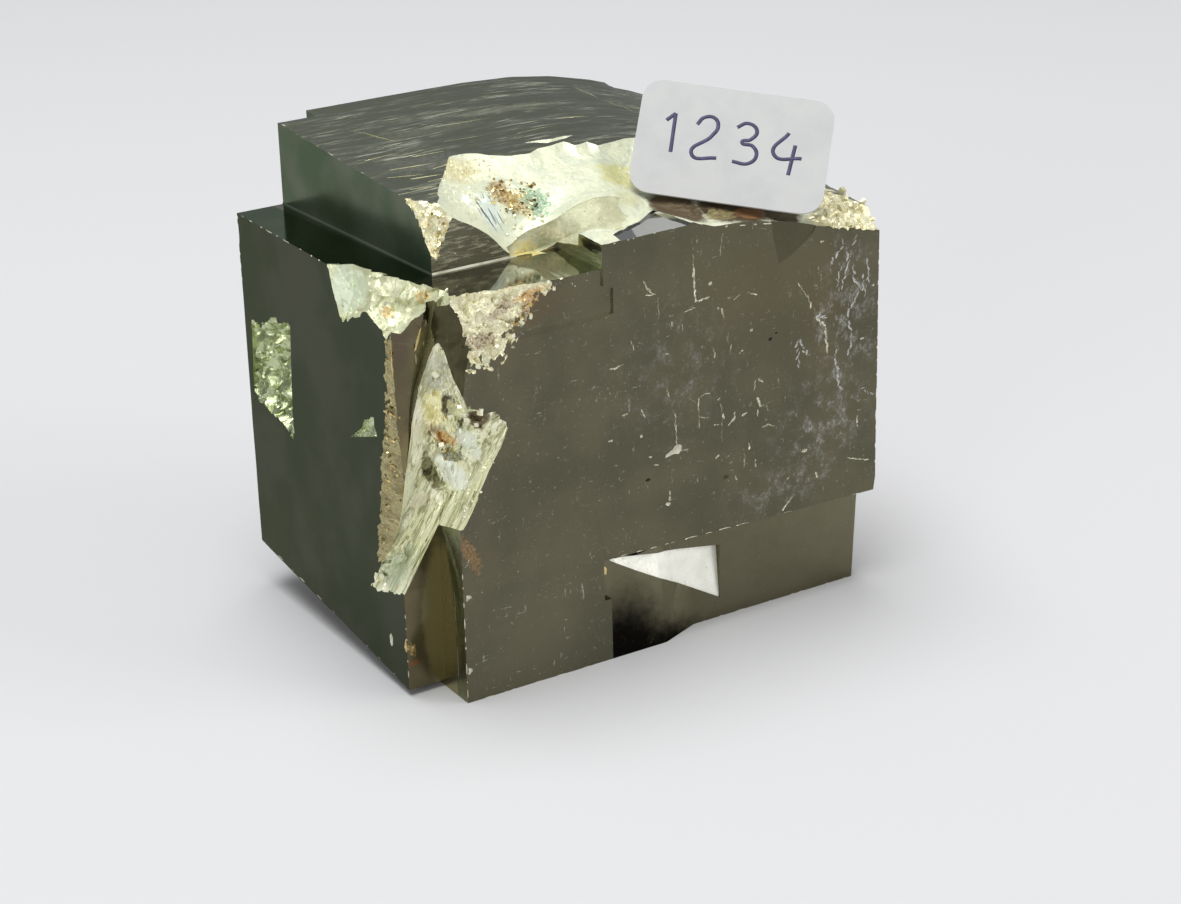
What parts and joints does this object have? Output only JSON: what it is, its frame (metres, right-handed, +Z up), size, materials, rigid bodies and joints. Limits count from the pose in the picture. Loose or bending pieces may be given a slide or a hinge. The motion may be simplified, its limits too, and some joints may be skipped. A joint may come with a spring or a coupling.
{
  "type": "cubic pyrite specimen",
  "caption": "Hand specimen of pyrite: intergrown metallic cubes with steps, broken corners and a striated top, with a small paper label on the broken edge.",
  "frame": {"origin": "middle of the part's box at the level of the flat base", "axes": "+X to the right along the front face, +Y into the depth away from the front face, +Z up"},
  "size_m": [0.054, 0.0414, 0.0542],
  "materials": {
    "pyrite": "dark brassy mirror-like crystal faces, pale rough broken places",
    "label_paper": "matt off-white paper"
  },
  "bodies": {
    "root": {"pyrite": "pyrite", "label": "label_paper"}
  },
  "joints": []
}
